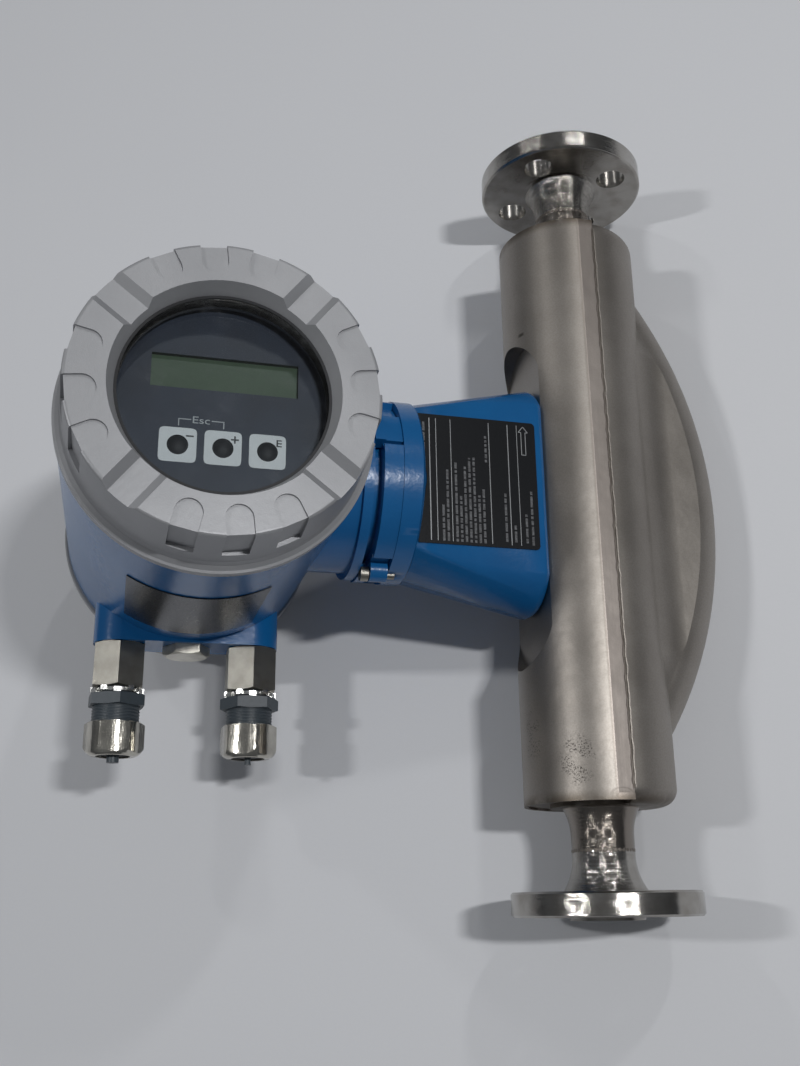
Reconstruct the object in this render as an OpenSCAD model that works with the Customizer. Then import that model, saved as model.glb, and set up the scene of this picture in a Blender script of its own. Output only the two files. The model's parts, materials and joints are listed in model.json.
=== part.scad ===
// Coriolis mass flow meter, compact version, lying on a flat surface.
// The meter is drawn in its own frame: flow along +Y, transmitter towards -X,
// display facing +Z. laid() then turns it about the flow axis until it rests
// on both flange rims and on the rim of the rear cover.

/* [Process connections] */
// Length from sealing face to sealing face
face_to_face = 404; // [380:1:440]
// Outside diameter of the flanges
flange_d = 88.9; // [84:0.1:98]
// Thickness of the flange disc
flange_t = 11.1; // [9:0.1:13]
// Diameter of the raised sealing face
raised_face_d = 34.9; // [32:0.1:38]
// Height of the raised sealing face
raised_face_h = 1.6; // [1:0.1:2.5]
// Bolt circle diameter
bolt_circle_d = 60.3; // [58:0.1:64]
// Diameter of the bolt holes
bolt_hole_d = 15.7; // [12:0.1:17]
// Bore of the flanges and inlets
bore_d = 15.7; // [12:0.1:17]
// Diameter of the neck where it leaves the sensor body
neck_root_d = 36.5; // [32:0.5:42]
// Diameter of the waist of the neck
neck_waist_d = 29.6; // [26:0.2:31]
// Diameter of the hub where it meets the flange disc
hub_d = 40; // [34:0.5:43]

/* [Sensor body] */
// Outside diameter of the sensor body
body_d = 72.4; // [70:0.2:76]
// Length of the sensor body
body_len = 303; // [296:1:310]
// Wall of the two half shells
shell_wall = 2; // [1.5:0.1:2.4]
// Radius of the rounded ends
end_round = 8; // [6:0.5:10]
// Furthest point of the bulge from the flow axis
bulge_reach = 73.2; // [68:0.2:73.6]
// Length of the bulge along the body
bulge_len = 241; // [230:1:246]
// Nose radius of the bulge
bulge_nose_r = 20.8; // [19.6:0.2:21.2]
// Radius of the hollow blend between body and bulge
blend_r = 30; // [24:1:34]
// Distance of the flat saddle from the flow axis
saddle_reach = 28.5; // [27.5:0.1:30]
// Length of the flat saddle
saddle_len = 173; // [160:1:180]
// Width of the ground strip along the weld seam
seam_w = 8; // [5:0.5:10]
// Depth to which the strip is ground
seam_depth = 0.6; // [0.3:0.1:0.9]

/* [Measuring tubes] */
// Outside diameter of a measuring tube
tube_od = 10; // [9:0.1:11]
// Inside diameter of a measuring tube
tube_id = 8.3; // [6:0.1:8.4]
// Distance between the two tube axes
tube_pitch = 22; // [20:0.5:24]
// Furthest point of the tube axes from the flow axis
tube_reach = 50; // [48:0.5:51]

/* [Sensor neck] */
// Width of the hood at its foot, along the flow
hood_foot_w = 120; // [110:1:126]
// Depth of the hood between its two flat faces
hood_depth = 52; // [48:1:54]
// Diameter of the hood's collar
collar_d = 90.8; // [90.2:0.2:94]
// Free length of the neck between the bayonet catch and the barrel
neck_gap = 12.1; // [10.1:0.5:14.1]
// Wall of the hood
hood_wall = 3.5; // [2.5:0.5:5]
// Diameter of the spigot that turns in the collar
spigot_d = 71; // [66:1:74]
// Width of the bayonet catch
catch_w = 9.1; // [8:0.1:10]
// Diameter of the bayonet catch over its raised parts
catch_d = 90; // [88:1:93]

/* [Transmitter housing] */
// Distance of the housing axis from the flow axis
housing_reach = 193.5; // [190:0.5:200]
// How far the barrel stands out past the front cover
barrel_step = 3.6; // [2.8:0.1:4.3]
// Difference between the barrel's front and rear diameters
barrel_taper = 3.6; // [1.6:0.1:4.6]
// Height of the barrel's front shoulder above the neck axis
barrel_front = 66.6; // [64:0.2:68]
// Depth of the barrel's rear shoulder below the neck axis
barrel_rear = 90; // [88:0.5:94]
// Wall of the covers outside their threads
cover_wall = 2.7; // [1.9:0.1:3.7]
// How far the rear threaded collar stands back from the front one
collar_step = 0.5; // [0:0.1:1]
// Wall of the threaded collars
thread_wall = 4; // [3:0.5:5]
// Thickness of the partition between the two compartments
partition_t = 6; // [4:0.5:8]

/* [Covers] */
// Height of the front cover's face above the neck axis
front_face = 106.5; // [105:0.5:110]
// Depth of the rear cover's face below the neck axis
rear_face = 115; // [112:0.5:118]
// Diameter of the front cover's face
cover_d = 125.4; // [124:0.2:128]
// How far the skirt of the front cover stands out past its face
skirt_step = 4.4; // [3.9:0.1:5.8]
// Diameter of the opening at the front face
bezel_d = 92; // [88:1:94]
// Diameter of the opening at the glass
window_d = 86.4; // [82:0.2:87]
// Thickness of the glass
glass_t = 7.4; // [5:0.2:7.6]
// Width of a thumb recess
thumb_w = 11; // [8:0.5:12]
// Depth of a thumb recess
thumb_depth = 1.2; // [0.6:0.1:1.6]
// Width of a cross channel at its floor
channel_w = 10; // [8:0.5:12]
// Depth of a cross channel
channel_depth = 3.5; // [2:0.1:4]
// Angle at which the front cover came to rest on its thread
front_cover_turn = 7; // [0:1:30]

/* [Display] */
// Height of the display face above the neck axis
display_face = 86; // [84:0.5:88]
// Gap between the display and the bore of the housing
display_gap = 2.5; // [1.5:0.5:6]
// Width of the display window
lcd_w = 60.2; // [54:0.2:64]
// Height of the display window
lcd_h = 14.9; // [12:0.1:16]
// Distance between two keys
key_pitch = 18; // [16:0.5:19]
// Diameter of a key
key_d = 7.8; // [6:0.1:9]
// Travel of a key
key_travel = 0.8; // [0.4:0.1:1]

/* [Cable glands] */
// Distance between the two gland axes
gland_pitch = 66.8; // [64:0.2:70]
// Depth of the gland axes below the neck axis
gland_drop = 72; // [71:0.5:74]
// How far the entry face stands out past the barrel
entry_stand = 1.7; // [1.1:0.1:3.5]
// Width across the flats of the metal adapter
adapter_af = 24.4; // [23:0.1:26]
// Length of the metal adapter's hexagon
adapter_len = 22.5; // [18:0.5:26]
// Width across the flats of the plastic hexagon
gland_af = 26; // [24:0.1:28]
// Thread diameter of the plastic gland
gland_thread_d = 23; // [22:0.1:23.4]
// Width across the flats of the dome nut
nut_af = 25.6; // [25.4:0.1:27]
// Length of the dome nut
nut_len = 16.5; // [14:0.5:20]
// Diameter of the pin that closes the left gland
left_pin_d = 6; // [3:0.5:8]
// Diameter of the pin that closes the right gland
right_pin_d = 3.2; // [2:0.2:8]

/* [Fits] */
// Radial clearance of a running fit
running_fit = 0.08; // [0.03:0.01:0.1]
// Clearance between parts that move past each other
free_gap = 0.3; // [0.2:0.05:0.4]
// Radial clearance of a fixed part in its seat
seat_gap = 0.1; // [0.05:0.05:0.2]

/* [Hidden] */
$fn = 96;

INLET = -1;
OUTLET = 1;
LEFT = -1;
RIGHT = 1;

steel = [0.60, 0.58, 0.55];
bright_steel = [0.75, 0.74, 0.72];
blue = [0.09, 0.33, 0.60];
cover_grey = [0.66, 0.66, 0.67];
navy = [0.11, 0.13, 0.19];
rubber = [0.08, 0.08, 0.09];
nickel = [0.62, 0.60, 0.54];
gland_grey = [0.30, 0.33, 0.36];
board_green = [0.08, 0.32, 0.20];
brass = [0.72, 0.58, 0.30];

// ---- sensor body ----
body_r = body_d / 2;
body_end = body_len / 2;
seam_x = 1.2;                        // plane on which the two half shells meet
lip_r = 24;                          // opening in the rounded shell ends
flank = bulge_nose_r - 0.4;          // half thickness of the bulge behind its nose
sagitta = bulge_reach - body_r;
arc_r = (pow(bulge_len / 2, 2) + sagitta * sagitta) / (2 * sagitta);
arc_x = bulge_reach - arc_r;         // centre of the arc that bulge and tubes follow
nose_arc_r = arc_r - bulge_nose_r;
lean = acos(flank / bulge_nose_r);   // where the nose passes into the blends of the arc
blend_z = flank + blend_r;
blend_sink = 0.12;                   // how far the blend runs into the body
nose_sink = 0.05;                    // and into the nose
blend_x = sqrt(pow(body_r + blend_r - blend_sink, 2) - blend_z * blend_z);
blend_top = blend_z * body_r / (body_r + blend_r - blend_sink);
saddle_r = sqrt(body_r * body_r - saddle_reach * saddle_reach) + 0.4;

// ---- necks, flanges and manifolds, measured from the middle of the body ----
face_y = face_to_face / 2;
disc_y = face_y - raised_face_h;
back_y = disc_y - flange_t;
neck_len = back_y - body_end;
root_flare_h = neck_len * 0.36;
hub_flare_h = neck_len * 0.42;
weld_y = body_end + neck_len * 0.53; // butt weld between neck and flange hub
plate_t = 10;
plate_y = body_end - shell_wall - seat_gap;  // outer face of the recessed end plate
plate_r = body_r - shell_wall - seat_gap;
plate_round = end_round - shell_wall - seat_gap;
bore_step = 0.4;                     // the bore widens behind the weld
tube_arc_r = tube_reach - arc_x;
socket_y = body_end - 39.5;          // inner face of a manifold
tube_end_y = body_end - 27.5;
tube_end_angle = asin(tube_end_y / tube_arc_r);
splitter_r = 22;
splitter_x = 6;

// ---- diameters of the housing, from that of its covers ----
front_thread_d = cover_d - 2 * cover_wall;
rear_thread_d = front_thread_d - 2 * collar_step;
barrel_front_d = cover_d + 2 * barrel_step;
barrel_rear_d = barrel_front_d - barrel_taper;
skirt_d = cover_d + 2 * skirt_step;
entry_face = barrel_rear_d / 2 + entry_stand;
front_bore_r = front_thread_d / 2 - thread_wall;

// ---- neck, from the housing down to the hood ----
collar_reach = housing_reach - barrel_front_d / 2 - neck_gap - catch_w;
hood_side_r = 29.25;                 // rounding of the hood's narrow sides
hood_side_y = hood_foot_w / 2 - hood_side_r;
hood_face = hood_depth / 2;
hood_top = collar_reach - 9;         // where the tapered hood meets its collar
hood_top_r = collar_d / 2 - 1.4;
foot_round = 4;                      // rounding of the hood's foot
hood_floor = 4.5;
collar_ramp = 6.8;                   // length of the blend from collar to flat face
stub_r = 20;
stub_top = saddle_reach + 18;
header_t = 4;
spigot_end = collar_reach - 6;
neck_flange_r = 44;
neck_flange_t = 4.5;
neck_flange_reach = collar_reach + catch_w + 4.4;
cable_r = 3;
cable_hole_r = 14;
lug_angle = [-80, 100];              // securing lugs, from the display side about the neck
lug_r = 45.2;                        // distance of the securing screws from the neck axis
lug_d = 11;
lug_step = 0.4;                      // the lugs stand back from both faces of the catch

// ---- housing ----
rear_bore_r = rear_thread_d / 2 - thread_wall;
front_collar_top = barrel_front + 19.4;
rear_collar_end = barrel_rear + 16;
barrel_edge = 1.2;
partition_top = -28;
partition_bottom = partition_top - partition_t;
neck_root_r = 41;
neck_root_in = 7;                    // how far the neck's root runs in past the wall of the bore
duct_r = 5.5;                        // cable duct through the partition
duct_y = rear_bore_r - 12.5;
entry_r = 10;                        // cable entry holes
plug_hole_r = 8;
entry_boss_r = 13.5;
boss_root = 38;                      // the boss starts this far from the housing axis

// ---- covers ----
skirt_t = 4.5;
cover_edge_r = 1.5;
rear_edge_r = 2;
rear_skirt_r = skirt_d / 2 - 1.1;
rear_cover_r = cover_d / 2 - 0.9;
cover_bore_r = front_thread_d / 2 + free_gap;
rear_cover_bore_r = rear_thread_d / 2 + free_gap;
glass_r = window_d / 2 + 1.8;
hub_r = glass_r + 4.6;
lip_z = front_face - 7.6;            // underside of the lip that the glass seals on
gasket_t = 0.5;
retainer_t = 2;
ring_r = 1;                          // section of the cover seals
groove_in = 3.9;                     // seal groove, from the open end of a cover
quarter = [0, 90, 180, 270];
thumb_step = 20;
rear_cover_turn = 10;

// ---- display and electronics ----
display_d = 2 * (front_bore_r - display_gap);
foil_t = 0.3;
frame_wall = 2;
frame_depth = 14;
key_y = -18.7;
lcd_y = 13.7;
display_x = 1;
board_t = 1.6;
board_z = display_face - 10;
switch_top = board_z + board_t + 1.2;
key_base = switch_top + key_travel + 0.1;
key_proud = 1.1;
rack_t = 3;
rack_leg_reach = display_d / 2 - 6.5; // legs that carry the display

// ---- cable glands, measured outwards from the entry face ----
washer_t = 3.4;
gland_hex_t = 6;
washer_z = adapter_len;
gland_hex_z = washer_z + washer_t;
thread_z = gland_hex_z + gland_hex_t;
nut_z = thread_z + 8;
nut_end = nut_z + nut_len;
thread_end = nut_z + 5;
gland_spigot_r = 9.2;
seal_r = 8.1;
adapter_bore_r = 6.5;
nut_mouth_r = seal_r + free_gap;

// Rim of the rear cover, from its face to its side, as [radius, depth]
function rear_rim() = [for (a = [0 : 22.5 : 90])
    [rear_cover_r - rear_edge_r * (1 - sin(a)), rear_face - rear_edge_r * (1 - cos(a))]];
// Tilt about the flow axis at which a point of the rim touches the floor
function touch_tilt(p) = let (reach = housing_reach - p[0])
    atan2(p[1], reach) - asin(flange_d / 2 / norm([reach, p[1]]));
rest_tilt = max([for (p = rear_rim()) touch_tilt(p)]);
// Middle of the lying meter, from the nose of the bulge to the foot of the rear cover's skirt
nose_x = (nose_arc_r + arc_x) * cos(rest_tilt) + bulge_nose_r;
foot_x = (housing_reach + rear_skirt_r) * cos(rest_tilt) + (barrel_rear + skirt_t) * sin(rest_tilt);
middle_x = (nose_x - foot_x) / 2;

function flare_r(w, h) = (h * h + w * w) / (2 * w);
function barrel_r(z) = barrel_rear_d / 2 + (z + barrel_rear - barrel_edge)
    / (barrel_front + barrel_rear - 2 * barrel_edge) * (barrel_front_d - barrel_rear_d) / 2;
function hex_r(af) = af / sqrt(3);

// ---- placing ----
module laid() translate([-middle_x, 0, flange_d / 2]) rotate([0, rest_tilt, 0]) children();
// Local +Z runs out of the body at one end
module to_end(side) rotate([side == INLET ? 90 : -90, 0, 0]) children();
// Local +Z runs towards the transmitter, local +X towards the display side
module along_neck(reach = 0) translate([-reach, 0, 0]) rotate([0, -90, 0]) children();
module in_housing() translate([-housing_reach, 0, 0]) children();
// Local +Z runs out of a cable entry
module at_entry(side) in_housing()
    translate([side * gland_pitch / 2, -entry_face, -gland_drop]) rotate([90, 0, 0]) children();
// A place on the arc of the measuring tubes: local +X outwards, local +Y along the tube
module on_arc(angle) translate([arc_x, 0, 0]) rotate([0, 0, angle]) translate([tube_arc_r, 0, 0]) children();

// ---- shapes used more than once ----
module ring(r_out, r_in, h) difference() {
    cylinder(r = r_out, h = h);
    translate([0, 0, -1]) cylinder(r = r_in, h = h + 2);
}
module torus(r, section) rotate_extrude() translate([r, 0]) circle(r = section, $fn = 32);
// A block whose narrow ends are round, lying along Y or X
module slot_x(pitch, r, h) {
    for (s = [-1, 1]) translate([s * pitch / 2, 0, 0]) cylinder(r = r, h = h);
    translate([-pitch / 2, -r, 0]) cube([pitch, 2 * r, h]);
}
module hex_bar(af, h) cylinder(r = hex_r(af), h = h, $fn = 6);
// Hexagon with both rims turned down to a cone
module hex_turned(af, h, chamfer) intersection() {
    hex_bar(af, h);
    rotate_extrude() polygon([[0, 0], [af / 2, 0], [hex_r(af) + 0.1, chamfer],
        [hex_r(af) + 0.1, h - chamfer], [af / 2, h], [0, h]]);
}
// A turned neck that widens by w over the height h towards local z = 0
module flare(r, w, h) rotate_extrude() difference() {
    square([r + w, h]);
    translate([r + flare_r(w, h), h]) circle(r = flare_r(w, h));
}
module rod(p, q, r) {
    v = q - p;
    translate(p) rotate([0, acos(v[2] / norm(v)), atan2(v[1], v[0])]) cylinder(r = r, h = norm(v));
}
module plate_xy(w, h, t, r) {
    for (x = [-1, 1], y = [-1, 1])
        translate([x * (w / 2 - r), y * (h / 2 - r), 0]) cylinder(r = r, h = t, $fn = 24);
    translate([-w / 2, -h / 2 + r, 0]) cube([w, h - 2 * r, t]);
    translate([-w / 2 + r, -h / 2, 0]) cube([w - 2 * r, h, t]);
}

// ---- sensor body ----
// The pipe of the body, skin inwards from its outside
module body_core(skin) rotate([90, 0, 0]) rotate_extrude() for (s = [-1, 1]) {
    r = body_r - skin;
    e = body_end - skin;
    q = end_round - skin;
    scale([1, s]) {
        square([r, e - q]);
        square([r - q, e]);
        translate([r - q, e - q]) circle(r = q, $fn = 48);
    }
}
module pipe_core(skin) rotate([90, 0, 0])
    cylinder(r = body_r - skin, h = 2 * (body_end - 1), center = true);
// The bulge follows a circular arc. Its hollow blends run straight along the body and give
// way to blends along the arc towards the ends
module bulge_core(skin) intersection() {
    rotate([90, 0, 0]) linear_extrude(height = bulge_len + 20, center = true) {
        difference() {
            translate([0, -blend_top]) square([blend_x, 2 * blend_top]);
            for (s = [-1, 1]) translate([blend_x, s * blend_z]) circle(r = blend_r + skin);
        }
        translate([0, -(flank - skin)]) square([bulge_reach + 5, 2 * (flank - skin)]);
    }
    translate([arc_x, 0, 0]) rotate([0, 0, -40]) rotate_extrude(angle = 80) translate([nose_arc_r, 0]) {
        circle(r = bulge_nose_r - skin, $fn = 64);
        difference() {
            translate([-60, -blend_r]) square([60 + (bulge_nose_r - skin) * sin(lean), 2 * blend_r]);
            for (s = [-1, 1]) rotate([0, 0, s * (90 - lean)])
                translate([bulge_nose_r + blend_r - nose_sink, 0]) circle(r = blend_r + skin);
        }
    }
}
module saddle_cut(skin) along_neck(saddle_reach - skin) rotate([0, 0, 90])
    slot_x(saddle_len - 2 * saddle_r, saddle_r + skin, 20);
// The strip that is ground flat along the seam, front and rear
module seam_cut() for (s = [0, 1]) mirror([0, 0, s])
    translate([seam_x - seam_w - 2, -body_end + 4, body_r - seam_depth]) cube([seam_w + 3, body_len, 3]);
module half_space(side) translate([side > 0 ? seam_x : seam_x - 100, -body_len, -60])
    cube([100, 2 * body_len, 120]);

module neck_half_shell() color(steel) laid() difference() {
    intersection() {
        pipe_core(0);
        half_space(-1);
    }
    difference() {
        rotate([90, 0, 0]) cylinder(r = body_r - shell_wall, h = body_len + 2, center = true);
        saddle_cut(shell_wall);
    }
    saddle_cut(0);
    seam_cut();
    along_neck() cylinder(r = stub_r - 6, h = body_r);
}
module bulge_half_shell() color(steel) laid() difference() {
    intersection() {
        union() {
            body_core(0);
            bulge_core(0);
        }
        half_space(1);
    }
    union() {
        body_core(shell_wall);
        bulge_core(shell_wall);
    }
    rotate([90, 0, 0]) cylinder(r = lip_r, h = body_len + 2, center = true);
}

// ---- manifolds and flanges ----
// The end plate is straight where it closes the pipe and rounded where it lies in the pressed shell
module end_plate() translate([0, 0, plate_y - plate_t]) {
    rotate_extrude() {
        square([plate_r, plate_t - plate_round]);
        square([plate_r - plate_round, plate_t]);
        translate([plate_r - plate_round, plate_t - plate_round]) circle(r = plate_round, $fn = 48);
    }
    intersection() {
        cylinder(r = plate_r, h = plate_t);
        translate([seam_x - seat_gap - 100, -50, -1]) cube([100, 100, plate_t + 2]);
    }
}
module manifold(side) color(steel) laid() to_end(side) {
    difference() {
        union() {
            end_plate();
            translate([0, 0, plate_y - 1]) cylinder(r = lip_r - seat_gap, h = body_end - plate_y + 1);
            translate([0, 0, body_end - 0.5])
                cylinder(r = neck_waist_d / 2, h = weld_y - body_end + 0.5);
            translate([0, 0, body_end - 0.3])
                flare(neck_waist_d / 2, (neck_root_d - neck_waist_d) / 2, root_flare_h);
            translate([splitter_x, 0, socket_y]) cylinder(r = splitter_r, h = plate_y - plate_t - socket_y + 1);
        }
        translate([0, 0, body_end - 10]) cylinder(r = bore_d / 2 + bore_step, h = 60);
        for (s = [-1, 1]) {
            rod([tube_arc_r * cos(tube_end_angle) + arc_x, s * tube_pitch / 2, tube_end_y - 1],
                [0, s * 3, body_end - 9], tube_id / 2);
            rotate([90, 0, 0]) translate([arc_x, 0, s * tube_pitch / 2])
                rotate([0, 0, tube_end_angle - 8]) rotate_extrude(angle = 8)
                    translate([tube_arc_r, 0]) circle(r = tube_od / 2 + seat_gap, $fn = 32);
        }
    }
}
module inlet_manifold() manifold(INLET);
module outlet_manifold() manifold(OUTLET);

module flange(side) color(bright_steel) laid() to_end(side) difference() {
    union() {
        translate([0, 0, back_y]) rotate_extrude() polygon([
            [0, 0], [flange_d / 2 - 1, 0], [flange_d / 2, 1], [flange_d / 2, flange_t - 1],
            [flange_d / 2 - 1, flange_t], [raised_face_d / 2, flange_t],
            [raised_face_d / 2, flange_t + raised_face_h], [0, flange_t + raised_face_h]]);
        translate([0, 0, weld_y]) cylinder(r = neck_waist_d / 2, h = back_y - weld_y + 0.5);
        translate([0, 0, back_y + 0.3]) mirror([0, 0, 1])
            flare(neck_waist_d / 2, (hub_d - neck_waist_d) / 2, hub_flare_h);
    }
    translate([0, 0, weld_y - 1]) cylinder(r = bore_d / 2, h = face_y - weld_y + 2);
    for (k = [0 : 3]) rotate([0, 0, 45 + 90 * k])
        translate([bolt_circle_d / 2, 0, back_y - 1]) cylinder(r = bolt_hole_d / 2, h = flange_t + 2);
}
module inlet_flange() flange(INLET);
module outlet_flange() flange(OUTLET);

// ---- measuring tubes and what they carry ----
module measuring_tube(s) color(bright_steel) laid() translate([arc_x, 0, s * tube_pitch / 2])
    rotate([0, 0, -tube_end_angle]) rotate_extrude(angle = 2 * tube_end_angle)
        translate([tube_arc_r, 0]) difference() {
            circle(r = tube_od / 2, $fn = 32);
            circle(r = tube_id / 2, $fn = 32);
        }
module front_measuring_tube() measuring_tube(1);
module rear_measuring_tube() measuring_tube(-1);

// Plates that tie the two tubes together ahead of each manifold
module brace(side) color(steel) laid() for (y = [9, 17])
    on_arc(side * (asin(socket_y / tube_arc_r) - y * 0.25)) rotate([90, 0, 0]) difference() {
        translate([0, 0, -0.6]) rotate([0, 0, 90])
            slot_x(tube_pitch, tube_od / 2 + 3, 1.2);
        for (s = [-1, 1]) translate([0, s * tube_pitch / 2, -2])
            cylinder(r = tube_od / 2 + seat_gap, h = 4);
    }
module inlet_brace() brace(INLET);
module outlet_brace() brace(OUTLET);

pickoff_angle = 17;
coil_r = 6;
coil_t = 3.4;
// A coil on the front tube and a magnet on the rear tube face each other
module clip(s) rotate([90, 0, 0]) difference() {
    union() {
        translate([0, s * tube_pitch / 2, -3]) cylinder(r = tube_od / 2 + 1.2, h = 6, $fn = 48);
        translate([-tube_od / 2 - coil_r - 3, s > 0 ? coil_t : -coil_t - 2, -3])
            cube([coil_r + tube_od / 2 + 3, 2, 6]);
        translate([-tube_od / 2 - 3, s > 0 ? coil_t : -coil_t - 5, -3]) cube([3, 5, 6]);
    }
    translate([0, s * tube_pitch / 2, -4]) cylinder(r = tube_od / 2 + seat_gap, h = 8);
}
coil_x = -tube_od / 2 - coil_r + 0.5;
module coil_at(angle) color(brass) laid() on_arc(angle) {
    clip(1);
    translate([coil_x, 0, 1]) ring(coil_r - 1, 3, coil_t - 0.5);
}
module magnet_at(angle) color([0.4, 0.4, 0.42]) laid() on_arc(angle) {
    clip(-1);
    translate([coil_x, 0, -coil_t - 0.5]) cylinder(r = 2.4, h = coil_t + 3.4, $fn = 32);
}
module drive_coil() coil_at(0);
module drive_magnet() magnet_at(0);
module inlet_pickoff_coil() coil_at(-pickoff_angle);
module inlet_pickoff_magnet() magnet_at(-pickoff_angle);
module outlet_pickoff_coil() coil_at(pickoff_angle);
module outlet_pickoff_magnet() magnet_at(pickoff_angle);

module tube_thermometer() color([0.85, 0.85, 0.82]) laid() on_arc(-23) difference() {
    translate([-tube_od / 2 - 1.6, -4, tube_pitch / 2 - 2.5]) cube([4, 8, 5]);
    translate([0, 0, tube_pitch / 2]) rotate([90, 0, 0])
        cylinder(r = tube_od / 2 + seat_gap, h = 12, center = true);
}

// ---- neck: feedthrough, hood, nameplate ----
module feedthrough_stub() color(steel) laid() along_neck(saddle_reach) difference() {
    cylinder(r = stub_r, h = stub_top - saddle_reach);
    translate([0, 0, -1]) cylinder(r = stub_r - 6, h = 40);
    translate([0, 0, stub_top - saddle_reach - header_t]) cylinder(r = stub_r - 4, h = header_t + 1);
}
module feedthrough_header() color(brass) laid() along_neck(stub_top - header_t) {
    cylinder(r = stub_r - 4 - seat_gap, h = header_t - 1);
    for (k = [0 : 5]) rotate([0, 0, 60 * k]) translate([9, 0, -4]) cylinder(r = 0.7, h = 11, $fn = 24);
}
module sensor_cable() color(rubber) laid() along_neck(stub_top - 1) {
    cylinder(r = 6, h = 8);
    cylinder(r = cable_r, h = housing_reach - front_bore_r - stub_top - 4);
    translate([0, 0, housing_reach - front_bore_r - stub_top - 8]) cylinder(r = 6, h = 9);
}

module hood_solid(skin, foot) intersection() {
    hull() {
        for (a = [0 : 22.5 : 90], s = [-1, 1])
            translate([0, s * hood_side_y, foot + foot_round * (1 - cos(a))]) linear_extrude(height = 0.1)
                intersection() {
                    circle(r = hood_side_r - skin - foot_round * (1 - sin(a)), $fn = 72);
                    square([2 * (hood_face - skin - foot_round * (1 - sin(a))), 100], center = true);
                }
        translate([0, 0, hood_top]) cylinder(r = hood_top_r - skin, h = 0.5, $fn = 72);
    }
    translate([-hood_face + skin, -100, 0]) cube([hood_depth - 2 * skin, 200, 200]);
}
// Turned blend that rises from the flat faces to the collar, grown outwards by the given amount
module collar_blend(grown) translate([0, 0, hood_top - collar_ramp]) rotate_extrude() polygon([
    [0, 0], for (u = [0 : 0.125 : 1])
        [hood_face + grown + (collar_d / 2 - hood_face) * u * u * (3 - 2 * u), collar_ramp * u],
    [0, collar_ramp]]);
module neck_hood() color(blue) laid() along_neck() difference() {
    union() {
        hood_solid(0, saddle_reach);
        collar_blend(0);
        translate([0, 0, hood_top - 0.01]) cylinder(r = collar_d / 2, h = collar_reach - hood_top + 0.01);
    }
    hood_solid(hood_wall, saddle_reach + hood_floor);
    translate([0, 0, hood_top - 3]) cylinder(r = spigot_d / 2 + running_fit, h = 20);
    cylinder(r = stub_r + seat_gap, h = 60);
    for (a = lug_angle) rotate([0, 0, a]) translate([lug_r, 0, collar_reach - 4]) cylinder(r = 2.1, h = 20);
}
plate_w = 66;
plate_foot = 34.2;                   // distance of the plate's lower edge from the flow axis
plate_gap = 1;                       // from its upper edge to the collar
plate_len = hood_top - plate_gap - plate_foot;
module nameplate() color([0.06, 0.06, 0.07]) laid() along_neck() difference() {
    translate([hood_face, 0, plate_foot + plate_len / 2]) rotate([0, 90, 0])
        plate_xy(plate_len, plate_w, 0.8, 2);
    collar_blend(0.6);
}

// Bayonet catch: a ring with three raised segments, three claws and two lugs for its screws
module bayonet_catch() color(blue) laid() along_neck(collar_reach + 0.1) difference() {
    union() {
        translate([0, 0, lug_step / 2])
            ring(catch_d / 2 - 3.5, spigot_d / 2 + free_gap, catch_w - lug_step);
        for (k = [0 : 2]) rotate([0, 0, 120 * k]) {
            rotate([0, 0, -63]) rotate_extrude(angle = 73)
                translate([catch_d / 2 - 4, 0]) square([4, catch_w]);
            rotate([0, 0, 13]) rotate_extrude(angle = 22)
                translate([spigot_d / 2 + 2.5, catch_w - 1]) square([catch_d / 2 - spigot_d / 2 - 2.5, 5]);
            rotate([0, 0, 13]) rotate_extrude(angle = 22)
                translate([catch_d / 2 - 4, 0]) square([3.2, catch_w]);
        }
        for (a = lug_angle) rotate([0, 0, a]) translate([lug_r - 2, 0, lug_step]) {
            translate([-2.5, -lug_d / 2, 0]) cube([2.5, lug_d, catch_w - 2 * lug_step]);
            cylinder(r = lug_d / 2, h = catch_w - 2 * lug_step);
        }
    }
    for (a = lug_angle) rotate([0, 0, a]) translate([lug_r, 0, -1]) cylinder(r = 2.1, h = catch_w + 2);
}
module catch_screws() color(nickel) laid() along_neck(collar_reach) for (a = lug_angle)
    rotate([0, 0, a]) translate([lug_r, 0, 0]) difference() {
        union() {
            translate([0, 0, -3.5]) cylinder(r = 1.9, h = catch_w + 4);
            translate([0, 0, catch_w + 0.2]) cylinder(r = 3.5, h = 3.8);
        }
        translate([0, 0, catch_w + 2]) cylinder(r = 1.7, h = 3, $fn = 6);
    }
module neck_seal() color(rubber) laid() along_neck(spigot_end + 3) torus(spigot_d / 2 - 1.1, 1);

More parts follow.
